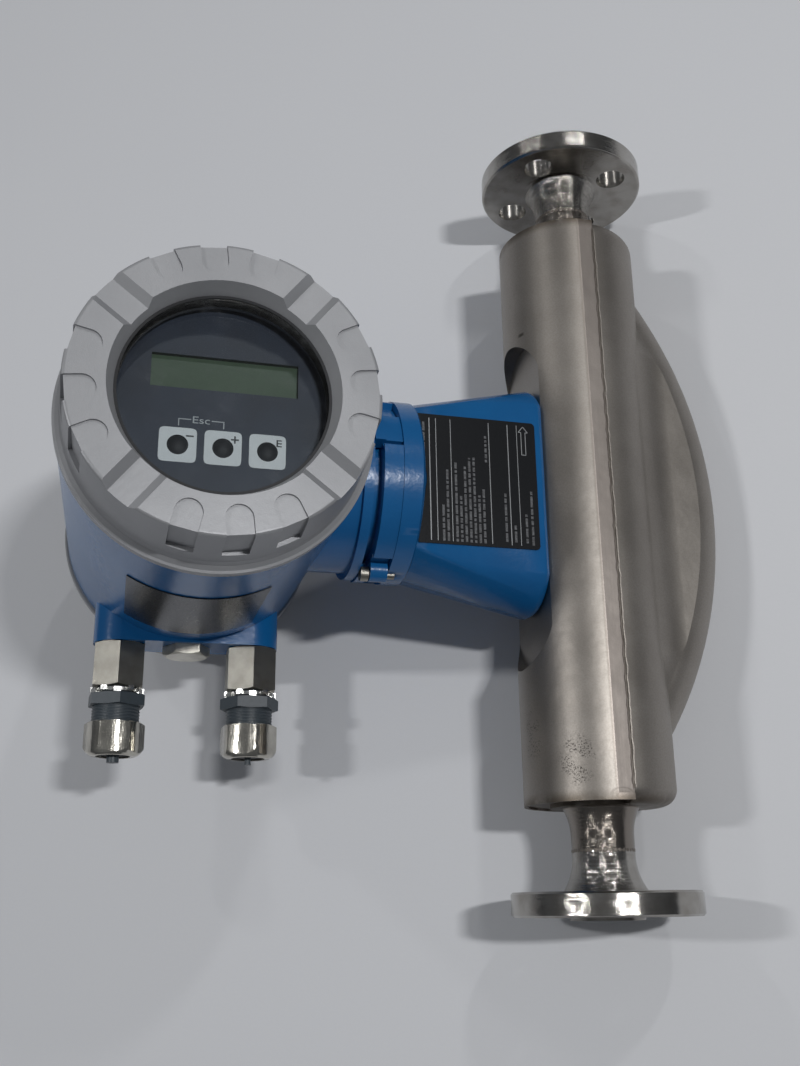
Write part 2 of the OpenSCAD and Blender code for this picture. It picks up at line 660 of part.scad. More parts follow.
// ---- housing ----
module housing_body() color(blue) laid() difference() {
    union() {
        in_housing() rotate_extrude() polygon([
            [0, -rear_collar_end], [rear_thread_d / 2 - 0.8, -rear_collar_end],
            [rear_thread_d / 2, -rear_collar_end + 0.8], [rear_thread_d / 2, -barrel_rear],
            [barrel_rear_d / 2 - barrel_edge, -barrel_rear], [barrel_rear_d / 2, -barrel_rear + barrel_edge],
            [barrel_front_d / 2, barrel_front - barrel_edge], [barrel_front_d / 2 - barrel_edge, barrel_front],
            [front_thread_d / 2, barrel_front], [front_thread_d / 2, front_collar_top - 0.8],
            [front_thread_d / 2 - 0.8, front_collar_top], [0, front_collar_top]]);
        // neck that carries the housing on the sensor
        along_neck(spigot_end) cylinder(r = spigot_d / 2, h = neck_flange_reach - spigot_end + 1);
        along_neck(neck_flange_reach) {
            cylinder(r = neck_flange_r, h = neck_flange_t);
            cylinder(r = neck_root_r, h = housing_reach - front_bore_r + neck_root_in - neck_flange_reach);
        }
        // boss with the two cable entries
        in_housing() translate([0, -entry_face, -gland_drop]) rotate([-90, 0, 0])
            slot_x(gland_pitch, entry_boss_r, entry_face - boss_root);
    }
    in_housing() {
        translate([0, 0, partition_top]) cylinder(r = front_bore_r, h = 200);
        translate([0, 0, partition_bottom - 200]) cylinder(r = rear_bore_r, h = 200);
        translate([0, duct_y, partition_bottom - 1]) cylinder(r = duct_r, h = partition_t + 2);
    }
    along_neck(spigot_end - 1) cylinder(r = cable_hole_r, h = housing_reach - spigot_end - 40);
    along_neck(spigot_end + 1.6) ring(spigot_d / 2 + 2, spigot_d / 2 - 2.2, 2.8);
    for (s = [LEFT, RIGHT]) at_entry(s) translate([0, 0, -40]) cylinder(r = entry_r, h = 41);
    in_housing() translate([0, -entry_face - 1, -gland_drop]) rotate([-90, 0, 0])
        cylinder(r = plug_hole_r, h = 30);
}
label_from = -120;                   // angles about the housing axis
label_sweep = 57;
label_top = 28;
label_bottom = -42;
label_t = 0.5;
label_glue = 0.05;
module label_plate() color([0.06, 0.06, 0.07]) laid() in_housing() rotate([0, 0, label_from])
    rotate_extrude(angle = label_sweep) translate([label_glue, 0]) polygon([
        [barrel_r(label_bottom), label_bottom], [barrel_r(label_bottom) + label_t, label_bottom],
        [barrel_r(label_top) + label_t, label_top], [barrel_r(label_top), label_top]]);

// ---- electronics ----
board_pitch = 22;
board_w = 66;
board_h = 78;
module board_rack() color([0.2, 0.2, 0.22]) laid() in_housing() translate([0, 0, partition_top]) {
    difference() {
        cylinder(r = front_bore_r - 4, h = rack_t);
        translate([0, duct_y, -1]) cylinder(r = duct_r, h = rack_t + 2);
    }
    for (x = [-1, 0, 1], s = [-1, 1]) translate([x * board_pitch, s * board_w / 2, 0]) difference() {
        translate([-3, -2.5, 0]) cube([6, 5, board_h + rack_t]);
        translate([-board_t / 2 - seat_gap, s > 0 ? -3 : 0 - seat_gap, rack_t])
            cube([board_t + 2 * seat_gap, 3 + seat_gap, board_h + 1]);
    }
    for (q = quarter) rotate([0, 0, q + 45]) translate([rack_leg_reach, 0, 0])
        cylinder(r = 2.5, h = board_z - partition_top, $fn = 32);
}
module board(x) translate([x - board_t / 2, -board_w / 2, partition_top + rack_t + 0.1])
    cube([board_t, board_w, board_h]);
module part_box(x, y, z, size) translate([x, y - size[1] / 2, partition_top + rack_t + z]) cube(size);
module power_board() color(board_green) laid() in_housing() {
    board(-board_pitch);
    part_box(-board_pitch + board_t / 2, -14, 8, [11, 22, 18]);
    part_box(-board_pitch + board_t / 2, 14, 12, [8, 16, 20]);
    part_box(-board_pitch + board_t / 2, 0, 44, [6, 30, 12]);
}
module amplifier_board() color(board_green) laid() in_housing() {
    board(0);
    part_box(board_t / 2, -12, 20, [3, 18, 18]);
    part_box(board_t / 2, 14, 24, [4, 14, 14]);
    part_box(board_t / 2, 0, 56, [8, 34, 8]);
}
module io_board() color(board_green) laid() in_housing() {
    board(board_pitch);
    part_box(board_pitch + board_t / 2, 10, 16, [5, 24, 10]);
    part_box(board_pitch + board_t / 2, -12, 40, [7, 16, 16]);
}

// ---- display ----
module key_x(k) translate([display_x + k * key_pitch, key_y, 0]) children();
module display_windows(extra) {
    translate([display_x - lcd_w / 2, lcd_y - lcd_h / 2, display_face - 8]) cube([lcd_w, lcd_h, 12]);
    for (k = [-1 : 1]) key_x(k) translate([0, 0, display_face - 8]) cylinder(r = key_d / 2 + extra, h = 12);
}
module display_frame() color([0.12, 0.12, 0.13]) laid() in_housing() difference() {
    translate([0, 0, display_face - frame_depth]) cylinder(r = display_d / 2, h = frame_depth);
    translate([0, 0, display_face - frame_depth - 1])
        cylinder(r = display_d / 2 - frame_wall, h = frame_depth + 1 - frame_wall);
    display_windows(free_gap);
}
module display_foil() color(navy) laid() in_housing() difference() {
    translate([0, 0, display_face]) cylinder(r = display_d / 2 - 0.5, h = foil_t);
    display_windows(free_gap);
}
module display_board() color(board_green) laid() in_housing() {
    translate([0, 0, board_z]) cylinder(r = display_d / 2 - frame_wall - 0.2, h = board_t);
    for (k = [-1 : 1]) key_x(k) translate([-3, -3, board_z]) cube([6, 6, switch_top - board_z]);
}
module lcd_module() color([0.42, 0.47, 0.30]) laid() in_housing()
    translate([display_x - lcd_w / 2 - 3, lcd_y - lcd_h / 2 - 3, board_z + board_t])
        cube([lcd_w + 6, lcd_h + 6, display_face - frame_wall - board_z - board_t - 0.1]);
module key(k) color(rubber) laid() in_housing() key_x(k) {
    dome = key_d / 2;
    translate([0, 0, key_base]) cylinder(r = dome, h = display_face + 0.2 - key_base);
    translate([0, 0, display_face - frame_wall - 1.1]) cylinder(r = dome + 1.2, h = 1);
    intersection() {
        translate([0, 0, display_face + key_proud - 2 * dome]) sphere(r = 2 * dome);
        translate([0, 0, display_face]) cylinder(r = dome, h = key_proud + 1);
    }
}
module minus_key() key(-1);
module plus_key() key(0);
module enter_key() key(1);

// ---- terminal compartment ----
terminal_w = 62;
terminal_h = 20;
terminal_t = 15;
terminal_count = 8;
module terminal_places() for (k = [0 : terminal_count - 1])
    translate([(k - (terminal_count - 1) / 2) * terminal_w / terminal_count, 0, 0]) children();
module terminal_block() color([0.35, 0.45, 0.35]) laid() in_housing()
    translate([0, 8, partition_bottom - terminal_t]) difference() {
        translate([-terminal_w / 2, -terminal_h / 2, 0]) cube([terminal_w, terminal_h, terminal_t]);
        terminal_places() {
            translate([0, -3, -1]) cylinder(r = 2.6, h = 6, $fn = 32);
            translate([-2.2, 2, -1]) cube([4.4, 5, 9]);
        }
    }
module terminal_screws() color(nickel) laid() in_housing()
    translate([0, 5, partition_bottom - terminal_t]) terminal_places() difference() {
        translate([0, 0, 2]) cylinder(r = 2.4, h = 3, $fn = 32);
        translate([-3, -0.4, 1.5]) cube([6, 0.8, 1.2]);
    }

// ---- covers ----
// Thumb recesses and cross channels of a screwed cover whose face is at z = top
module thumb_recesses(r, top, depth, reach) for (q = quarter, k = [-1 : 1]) rotate([0, 0, q + k * thumb_step]) {
    translate([r - thumb_w * 0.7, 0, top - depth]) {
        cylinder(r = thumb_w / 2, h = depth + 1, $fn = 48);
        translate([0, -thumb_w / 2, 0]) cube([20, thumb_w, depth + 1]);
    }
    translate([r - depth, -thumb_w / 2, top - reach]) cube([10, thumb_w, reach + 1]);
}
module cross_channels(r, top) for (q = quarter) rotate([0, 0, q + 45]) translate([r - 24, 0, top])
    rotate([90, 0, 90]) linear_extrude(height = 40) polygon([
        [-channel_w / 2, -channel_depth], [channel_w / 2, -channel_depth],
        [channel_w / 2 + channel_depth + 1, 1], [-channel_w / 2 - channel_depth - 1, 1]]);
module front_cover() color(cover_grey) laid() in_housing() rotate([0, 0, front_cover_turn]) {
    foot = barrel_front + free_gap;
    r = cover_d / 2;
    side_r = r + 0.9;                // the side leans out towards the skirt
    difference() {
        rotate_extrude() difference() {
            polygon([
                [cover_bore_r, foot], [skirt_d / 2 - 0.6, foot], [skirt_d / 2, foot + 0.6],
                [skirt_d / 2, foot + skirt_t], [side_r + 2.4, foot + skirt_t + 0.4],
                [side_r + 0.7, foot + skirt_t + 2], [side_r, foot + skirt_t + 5],
                for (a = [0 : 22.5 : 90]) [r - cover_edge_r * (1 - cos(a)), front_face - cover_edge_r * (1 - sin(a))],
                [bezel_d / 2, front_face], [window_d / 2, lip_z],
                [glass_r + seat_gap, lip_z], [glass_r + seat_gap, lip_z - glass_t - gasket_t - retainer_t - 0.4],
                [hub_r, lip_z - glass_t - gasket_t - retainer_t - 0.4], [hub_r, lip_z - 1],
                [cover_bore_r, lip_z - 1]]);
            translate([0, foot + groove_in - ring_r - 0.3])
                square([cover_bore_r + 2 * ring_r + 0.3, 2 * ring_r + 0.6]);
        }
        thumb_recesses(r, front_face, thumb_depth, 22);
        cross_channels(r, front_face);
    }
}
module window_glass() color([0.8, 0.9, 0.95, 0.3]) laid() in_housing()
    translate([0, 0, lip_z - gasket_t - glass_t]) cylinder(r = glass_r, h = glass_t);
module window_gasket() color(rubber) laid() in_housing()
    translate([0, 0, lip_z - gasket_t]) ring(glass_r, window_d / 2 - 1.2, gasket_t);
module window_retainer() color(bright_steel) laid() in_housing()
    translate([0, 0, lip_z - gasket_t - glass_t - retainer_t]) ring(glass_r, glass_r - 2.6, retainer_t);
module front_cover_seal() color(rubber) laid() in_housing()
    translate([0, 0, barrel_front + free_gap + groove_in]) torus(cover_bore_r + ring_r + 0.05, ring_r - 0.05);

module rear_cover() color(cover_grey) laid() in_housing() rotate([0, 0, rear_cover_turn]) {
    foot = barrel_rear + free_gap;
    difference() {
        rotate_extrude() difference() {
            polygon([
                [rear_cover_bore_r, -foot], [rear_skirt_r - 0.6, -foot], [rear_skirt_r, -foot - 0.6],
                [rear_skirt_r, -foot - skirt_t], [rear_cover_r + 2.2, -foot - skirt_t - 0.4],
                [rear_cover_r + 0.6, -foot - skirt_t - 2], [rear_cover_r, -foot - skirt_t - 5],
                for (p = [for (i = [4 : -1 : 0]) rear_rim()[i]]) [p[0], -p[1]],
                [0, -rear_face], [0, -rear_face + 4.5], [rear_cover_bore_r, -rear_face + 4.5]]);
            translate([0, -foot - groove_in - ring_r - 0.3])
                square([rear_cover_bore_r + 2 * ring_r + 0.3, 2 * ring_r + 0.6]);
        }
        mirror([0, 0, 1]) thumb_recesses(rear_cover_r, rear_face, thumb_depth, 15);
    }
}
module rear_cover_seal() color(rubber) laid() in_housing()
    translate([0, 0, -barrel_rear - free_gap - groove_in])
        torus(rear_cover_bore_r + ring_r + 0.05, ring_r - 0.05);

// ---- cable entries ----
module adapter(side) color(nickel) laid() at_entry(side) rotate([0, 0, 90]) difference() {
    union() {
        hex_turned(adapter_af, adapter_len, 0.8);
        translate([0, 0, -14]) cylinder(r = entry_r - seat_gap, h = 15);
    }
    translate([0, 0, -20]) cylinder(r = adapter_bore_r, h = 60);
    translate([0, 0, adapter_len - 11]) cylinder(r = gland_spigot_r + seat_gap, h = 20);
}
module lock_washer(side) color(bright_steel) laid() at_entry(side) translate([0, 0, washer_z]) {
    translate([0, 0, 0.9]) ring(hex_r(adapter_af) - 2.4, gland_spigot_r + seat_gap + 0.2, washer_t - 1.8);
    for (k = [0 : 11]) rotate([0, 0, 30 * k]) translate([9.8, -1.7, k % 2 == 0 ? 0 : 1])
        cube([3.4, 3.4, washer_t - 1]);
}
module gland_body(side, turn) color(gland_grey) laid() at_entry(side) rotate([0, 0, turn]) difference() {
    union() {
        translate([0, 0, gland_hex_z]) hex_turned(gland_af, gland_hex_t, 0.5);
        translate([0, 0, adapter_len - 10]) cylinder(r = gland_spigot_r, h = gland_hex_z - adapter_len + 11);
        translate([0, 0, gland_hex_z + 1]) cylinder(r = gland_thread_d / 2, h = thread_end - gland_hex_z - 1);
    }
    translate([0, 0, adapter_len - 12]) cylinder(r = 5.5, h = 80);
    translate([0, 0, thread_z]) cylinder(r = seal_r + free_gap, h = 40);
}
module gland_seal(side, pin_d) color(rubber) laid() at_entry(side) translate([0, 0, thread_z + 0.1])
    ring(seal_r, pin_d / 2 + seat_gap, nut_end - thread_z - 1);
module sealing_pin(side, pin_d) color(gland_grey) laid() at_entry(side)
    translate([0, 0, thread_z + 4]) cylinder(r = pin_d / 2, h = nut_end - thread_z - 1, $fn = 32);
module dome_nut(side, turn) color(nickel) laid() at_entry(side) rotate([0, 0, turn]) difference() {
    translate([0, 0, nut_z]) intersection() {
        hex_bar(nut_af, nut_len);
        rotate_extrude() polygon([[0, 0], [nut_af / 2, 0], [hex_r(nut_af) + 0.1, 1],
            [hex_r(nut_af) + 0.1, nut_len - 7.2],
            for (a = [0 : 15 : 75]) [nut_mouth_r + 1 + 6.2 * cos(a) - 0.2, nut_len - 7 + 7.2 * sin(a)],
            [nut_mouth_r + 0.6, nut_len], [0, nut_len]]);
    }
    translate([0, 0, nut_z - 1]) cylinder(r = gland_thread_d / 2 + free_gap, h = thread_end - nut_z + 2);
    translate([0, 0, nut_z]) cylinder(r = nut_mouth_r, h = nut_len + 1);
}
left_hex_turn = 24;
right_hex_turn = 0;
module left_adapter() adapter(LEFT);
module left_lock_washer() lock_washer(LEFT);
module left_gland_body() gland_body(LEFT, left_hex_turn);
module left_gland_seal() gland_seal(LEFT, left_pin_d);
module left_sealing_pin() sealing_pin(LEFT, left_pin_d);
module left_dome_nut() dome_nut(LEFT, 0);
module right_adapter() adapter(RIGHT);
module right_lock_washer() lock_washer(RIGHT);
module right_gland_body() gland_body(RIGHT, right_hex_turn);
module right_gland_seal() gland_seal(RIGHT, right_pin_d);
module right_sealing_pin() sealing_pin(RIGHT, right_pin_d);
module right_dome_nut() dome_nut(RIGHT, 22);

module blanking_plug() color(nickel) laid() in_housing()
    translate([0, -entry_face, -gland_drop]) rotate([90, 0, 0]) {
        intersection() {
            cylinder(r = 12.1, h = 5.4, $fn = 6);
            rotate_extrude() polygon([[0, 0], [12.2, 0], [12.2, 3.8], [10.2, 5.2], [0, 5.4]]);
        }
        translate([0, 0, -9]) cylinder(r = plug_hole_r - seat_gap, h = 9.5);
    }

neck_half_shell();
bulge_half_shell();
inlet_manifold();
outlet_manifold();
inlet_flange();
outlet_flange();
front_measuring_tube();
rear_measuring_tube();
inlet_brace();
outlet_brace();
drive_coil();
drive_magnet();
inlet_pickoff_coil();
inlet_pickoff_magnet();
outlet_pickoff_coil();
outlet_pickoff_magnet();
tube_thermometer();
feedthrough_stub();
feedthrough_header();
sensor_cable();
neck_hood();
nameplate();
bayonet_catch();
catch_screws();
neck_seal();
housing_body();
label_plate();
board_rack();
power_board();
amplifier_board();
io_board();
display_frame();
display_foil();
display_board();
lcd_module();
minus_key();
plus_key();
enter_key();
terminal_block();
terminal_screws();
blanking_plug();
front_cover();
window_glass();
window_gasket();
window_retainer();
front_cover_seal();
rear_cover();
rear_cover_seal();
left_adapter();
left_lock_washer();
left_gland_body();
left_gland_seal();
left_sealing_pin();
left_dome_nut();
right_adapter();
right_lock_washer();
right_gland_body();
right_gland_seal();
right_sealing_pin();
right_dome_nut();
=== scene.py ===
import json
import math
import random

import bmesh
import bpy
from mathutils import Euler, Matrix, Vector


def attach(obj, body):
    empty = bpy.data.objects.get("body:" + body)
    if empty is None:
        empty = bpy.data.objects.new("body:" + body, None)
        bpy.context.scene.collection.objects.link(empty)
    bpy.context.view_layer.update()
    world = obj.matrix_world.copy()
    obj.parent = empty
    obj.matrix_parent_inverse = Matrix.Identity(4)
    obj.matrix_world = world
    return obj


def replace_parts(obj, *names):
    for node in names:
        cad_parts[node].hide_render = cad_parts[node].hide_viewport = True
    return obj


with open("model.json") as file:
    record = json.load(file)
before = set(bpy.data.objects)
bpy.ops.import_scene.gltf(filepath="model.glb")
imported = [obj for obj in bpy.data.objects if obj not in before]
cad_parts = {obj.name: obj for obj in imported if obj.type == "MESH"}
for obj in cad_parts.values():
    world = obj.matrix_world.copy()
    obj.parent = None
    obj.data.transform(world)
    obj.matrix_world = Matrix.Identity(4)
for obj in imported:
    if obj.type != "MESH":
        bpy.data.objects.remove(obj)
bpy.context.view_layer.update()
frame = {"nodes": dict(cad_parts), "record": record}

# ---------------------------------------------------------------- the meter's own frame
# The meter lies on its side. Its own frame has the flow along +Y through the middle, the transmitter
# towards -X and the display facing +Z, in millimetres. SWIVEL and FLOW place that frame in the row's.
record = frame["record"]
JOINTS = {j["name"]: j for j in record["behaviour"]["joints"]}
MOUNTS = {m["name"]: m for m in record["mounts"]}
swivel = Vector(JOINTS["housing_swivel"]["axis"]).normalized()
flow = Vector(MOUNTS["inlet_bore"]["pos_m"])
TILT = math.atan2(swivel.z, -swivel.x)
FLOW = Vector((flow.x, 0.0, flow.z))
LAID = Matrix.Translation(FLOW) @ Matrix.Rotation(TILT, 4, "Y") @ Matrix.Scale(0.001, 4)
cover_axis = Vector(JOINTS["front_cover_turn"]["pos_m"])
HOUSING_X = -1000 * (cover_axis - FLOW).dot(swivel)
HOUSING = Matrix.Translation((HOUSING_X, 0, 0))


# ---------------------------------------------------------------- shader expressions
class Flow:
    """A number that varies over a surface. Sums and products of flows add their Math nodes."""

    def __init__(self, finish, socket):
        self.finish = finish
        self.socket = socket

    def math(self, operation, *others):
        values = {i: v for i, v in enumerate((self,) + others)}
        return self.finish.node("ShaderNodeMath", {"operation": operation}, values)

    def __add__(self, other):
        return self.math("ADD", other)

    __radd__ = __add__

    def __mul__(self, other):
        return self.math("MULTIPLY", other)

    __rmul__ = __mul__

    def __sub__(self, other):
        return self.math("SUBTRACT", other)

    def __rsub__(self, other):
        return self.finish.node("ShaderNodeMath", {"operation": "SUBTRACT"}, {0: other, 1: self})

    def __abs__(self):
        return self.math("ABSOLUTE")

    def over(self, start, end):
        """0 below start, 1 above end, smooth between them."""
        return self.finish.node(
            "ShaderNodeMapRange", {"interpolation_type": "SMOOTHSTEP"},
            {"Value": self, "From Min": start, "From Max": end}, "Result")

    def under(self, start, end):
        return 1 - self.over(start, end)

    def sin(self):
        return self.math("SINE")

    def root(self):
        return self.math("SQRT")

    def square(self):
        return self * self

    def near(self, place, width, soft):
        """1 within width of place, falling to 0 over soft."""
        return abs(self - place).under(width, width + soft)


class Finish:
    """A material whose pattern runs in the meter's own millimetres."""

    def __init__(self, name, **settings):
        self.material = bpy.data.materials.new(name)
        self.material.use_nodes = True
        self.tree = self.material.node_tree
        self.shader = next(n for n in self.tree.nodes if n.type == "BSDF_PRINCIPLED")
        self.output = next(n for n in self.tree.nodes if n.type == "OUTPUT_MATERIAL")
        for socket, value in settings.items():
            self.set(socket.replace("_", " "), value)
        coordinates = self.node("ShaderNodeTexCoord", {}, {}, "Object")
        self.own = self.node(
            "ShaderNodeMapping", {"vector_type": "TEXTURE"},
            {"Vector": coordinates, "Location": tuple(FLOW), "Rotation": (0, TILT, 0), "Scale": (0.001,) * 3},
            "Vector")

    def node(self, kind, settings, inputs, output=0):
        made = self.tree.nodes.new(kind)
        for key, value in settings.items():
            if key == "stops":
                ramp = made.color_ramp
                while len(ramp.elements) < len(value):
                    ramp.elements.new(0.5)
                for element, (place, colour) in zip(ramp.elements, value):
                    element.position = place
                    element.color = (*colour, 1)
            else:
                setattr(made, key, value)
        for key, value in inputs.items():
            if isinstance(value, Flow):
                self.tree.links.new(value.socket, made.inputs[key])
            else:
                made.inputs[key].default_value = value
        return Flow(self, made.outputs[output])

    def set(self, socket, value):
        if isinstance(value, Flow):
            self.tree.links.new(value.socket, self.shader.inputs[socket])
        elif socket in ("Base Color", "Emission Color") and len(value) == 3:
            self.shader.inputs[socket].default_value = (*value, 1)
        else:
            self.shader.inputs[socket].default_value = value

    def axes(self):
        """The own frame's x, y and z over the surface, in millimetres."""
        parts = self.tree.nodes.new("ShaderNodeSeparateXYZ")
        self.tree.links.new(self.own.socket, parts.inputs[0])
        return [Flow(self, parts.outputs[i]) for i in range(3)]

    def noise(self, scale, detail=3.0, stretch=(1, 1, 1), roughness=0.5):
        place = self.own
        if stretch != (1, 1, 1):
            place = self.node("ShaderNodeMapping", {}, {"Vector": self.own, "Scale": stretch}, 0)
        return self.node("ShaderNodeTexNoise", {},
                         {"Vector": place, "Scale": scale, "Detail": detail, "Roughness": roughness}, 0)

    def mix(self, mask, first, second):
        """Colour first where mask is 0 and second where it is 1."""
        values = {0: mask, 6: first, 7: second}
        values = {k: (*v, 1) if isinstance(v, tuple) and len(v) == 3 else v for k, v in values.items()}
        return self.node("ShaderNodeMix", {"data_type": "RGBA"}, values, 2)

    def bump(self, height, strength):
        """A normal from a height in millimetres."""
        inputs = {"Height": height, "Strength": strength, "Distance": 0.001}
        return self.node("ShaderNodeBump", {}, inputs, "Normal")


# ---------------------------------------------------------------- making pieces
def finished(name, mesh, body, finish, place=Matrix(), smooth=40):
    """A piece from a bmesh in own millimetres: laid down, shaded and riding on its body."""
    mesh.transform(LAID @ place)
    bmesh.ops.recalc_face_normals(mesh, faces=mesh.faces)
    return shown(name, mesh, body, finish, smooth)


def shown(name, mesh, body, finish, smooth=40):
    data = bpy.data.meshes.new(name)
    mesh.to_mesh(data)
    mesh.free()
    piece = bpy.data.objects.new(name, data)
    bpy.context.scene.collection.objects.link(piece)
    data.materials.append(finish.material)
    data.shade_smooth()
    data.set_sharp_from_angle(angle=math.radians(smooth))
    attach(piece, body)
    return piece


def turned(profile, steps=96):
    """A turned form: the closed profile of (radius, height) spun round +Z."""
    mesh = bmesh.new()
    points = [mesh.verts.new((r, 0, h)) for r, h in profile]
    edges = [mesh.edges.new((a, b)) for a, b in zip(points, points[1:] + points[:1])]
    bmesh.ops.spin(mesh, geom=points + edges, cent=(0, 0, 0), axis=(0, 0, 1), dvec=(0, 0, 0),
                   angle=math.tau, steps=steps, use_merge=True, use_duplicate=False)
    bmesh.ops.remove_doubles(mesh, verts=mesh.verts, dist=1e-4)
    return mesh


def prism(mesh, outline, low, high, hole=None):
    """Adds a plate between two heights; a hole has as many points as the outline."""
    loops = [[mesh.verts.new((x, y, z)) for x, y in line]
             for line in (outline, hole) if line for z in (low, high)]
    count = len(outline)
    for i in range(count):
        j = (i + 1) % count
        mesh.faces.new((loops[0][i], loops[0][j], loops[1][j], loops[1][i]))
        if hole:
            mesh.faces.new((loops[2][j], loops[2][i], loops[3][i], loops[3][j]))
            mesh.faces.new((loops[1][i], loops[1][j], loops[3][j], loops[3][i]))
            mesh.faces.new((loops[0][j], loops[0][i], loops[2][i], loops[2][j]))
    if not hole:
        mesh.faces.new(loops[1])
        mesh.faces.new(loops[0][::-1])


def bar(mesh, x, y, width, height, low, high):
    w, h = width / 2, height / 2
    prism(mesh, [(x - w, y - h), (x + w, y - h), (x + w, y + h), (x - w, y + h)], low, high)


def stroke(mesh, start, end, width, low, high):
    a, b = Vector(start), Vector(end)
    side = (b - a).normalized().orthogonal() * width / 2
    prism(mesh, [tuple(p) for p in (a - side, b - side, b + side, a + side)], low, high)


def letters(text, width, height, low, high, place):
    """Raised letters that fill width by height, centred on place."""
    curve = bpy.data.curves.new(text, "FONT")
    curve.body = text
    curve.size = 10
    holder = bpy.data.objects.new(text, curve)
    flat = bpy.data.meshes.new_from_object(holder)
    mesh = bmesh.new()
    mesh.from_mesh(flat)
    bmesh.ops.remove_doubles(mesh, verts=mesh.verts, dist=1e-4)
    xs = [v.co.x for v in mesh.verts]
    ys = [v.co.y for v in mesh.verts]
    for v in mesh.verts:
        v.co = ((v.co.x - min(xs)) / (max(xs) - min(xs)) * width - width / 2 + place[0],
                (v.co.y - min(ys)) / (max(ys) - min(ys)) * height - height / 2 + place[1], low)
    sides = bmesh.ops.extrude_face_region(mesh, geom=mesh.faces[:])
    for v in (g for g in sides["geom"] if isinstance(g, bmesh.types.BMVert)):
        v.co.z = high
    bpy.data.objects.remove(holder)
    bpy.data.curves.remove(curve)
    bpy.data.meshes.remove(flat)
    return mesh


def joined(*meshes):
    result = bmesh.new()
    for mesh in meshes:
        data = bpy.data.meshes.new("part")
        mesh.to_mesh(data)
        mesh.free()
        result.from_mesh(data)
        bpy.data.meshes.remove(data)
    return result


def dress(finish, *nodes):
    for name in nodes:
        node = frame["nodes"][name]
        node.data.materials.clear()
        node.data.materials.append(finish.material)


# ---------------------------------------------------------------- sizes the dressing follows
# Own-frame millimetres; those of the keys, foil, glands and threads are from the housing's axis
SEAM_X = 1.2
SEAM_LEFT = -7.3
SEAM_Z = 35.6
BODY_END = 151.5
WELD_Y = 171.1
NECK_R = 14.8
HUB_R, RIM_R = 20.0, 44.45
GLAND_X, GLAND_Z = 33.4, -72.0
PLATE_Z = 26.8
FOIL_Z = 86.3
KEYS = {"minus": -17.0, "plus": 1.0, "enter": 19.0}
KEY_Y = -18.7
KEY_R = 3.9
ENTRY_Y = -66.2
THREAD_R = 11.5
THREAD_FROM, THREAD_TO = 31.9, 39.9


# ---------------------------------------------------------------- finishes
def satin_steel():
    """Pickled sheet: clouds, fine grain, seam strip, weld end, pits, and body ends darkened partly by stain
    and partly by painted shade; turned necks.
    """
    f = Finish("satin_steel", Metallic=1.0)
    x, y, z = f.axes()
    cloud = f.noise(0.022, 4, roughness=0.6)
    grain = f.noise(1.3, 2)
    drawn = f.noise(0.5, 3, stretch=(1, 0.04, 1))
    wander = (f.noise(0.16, 3, stretch=(0, 1, 0)) - 0.5) * 2.2
    near_seam = abs(z).over(31, 34)
    band = x.over(SEAM_LEFT - 0.5, SEAM_LEFT + 0.5) * x.under(SEAM_X - 0.3, SEAM_X + 0.3) * near_seam
    weld = (x + wander).near(SEAM_X, 0.25, 0.7) * near_seam * abs(y).under(144, 147)
    hook = (((x + 4.5) * 0.19).square() + ((y + 148) * 0.36).square()).root()
    hook = hook.near(1.0, 0.05, 0.16) * x.under(1.5, 2.5) * z.over(28, 30)
    # Painted shade: a soft dark line along the sunken left edge of the seam strip
    edge = (x + wander * 0.4).near(SEAM_LEFT, 0.15, 0.8) * near_seam
    on_neck = abs(y).over(BODY_END, BODY_END + 1)
    # Darker towards the body's ends: partly real stain, partly painted shade where the ends meet the necks
    stain_and_end_shade = abs(y).over(145, 150.5) * (1 - on_neck) * f.noise(0.11, 3).over(0.2, 0.55)
    speck = f.noise(1.25, 3, roughness=0.7).over(0.555, 0.61)
    front = z.over(0, 3)
    pitted = (((x + 22) * 0.12).square() + ((y + 132) * 0.075).square()).under(0.1, 1.3)
    pitted_left = (x + 37).near(0, 2, 3) * (y + 118).near(0, 8, 6)
    patches = f.noise(0.14, 2).over(0.42, 0.54)
    pits = speck * (pitted + pitted_left).over(0.2, 0.9) * front * patches
    knock = (y - 89.5).near(0, 0.4, 0.9) * (x + 33.5).near(0, 0.3, 0.8) * front
    tone = f.mix(cloud.over(0.3, 0.7), (0.310, 0.284, 0.256), (0.375, 0.346, 0.315))
    tone = f.mix(grain.over(0.3, 0.75) * 0.25, tone, (0.20, 0.18, 0.158))
    tone = f.mix(band * 0.5, tone, (0.42, 0.365, 0.335))
    tone = f.mix(on_neck * 0.85, tone, (0.23, 0.205, 0.18))
    tone = f.mix(stain_and_end_shade * 0.8, tone, (0.11, 0.088, 0.065))
    # Painted shade along the seam strip's left edge
    tone = f.mix(edge * 0.4, tone, (0.17, 0.15, 0.13))
    tone = f.mix((weld + hook * 0.8).math("MINIMUM", 1.0) * 0.45, tone, (0.13, 0.115, 0.10))
    tone = f.mix((pits + knock).math("MINIMUM", 1.0) * 0.75, tone, (0.05, 0.04, 0.032))
    f.set("Base Color", tone)
    f.set("Roughness", 0.46 + (cloud - 0.5) * 0.12 + (grain - 0.5) * 0.06 - on_neck * 0.30)
    turning = f.noise(9, 0, stretch=(0, 1, 0)) * on_neck
    height = cloud * 1.2 + grain * 0.035 + drawn * band * 0.06 - weld * 0.22 - pits * 0.2 + turning * 0.16
    f.set("Normal", f.bump(height, 0.5))
    return f


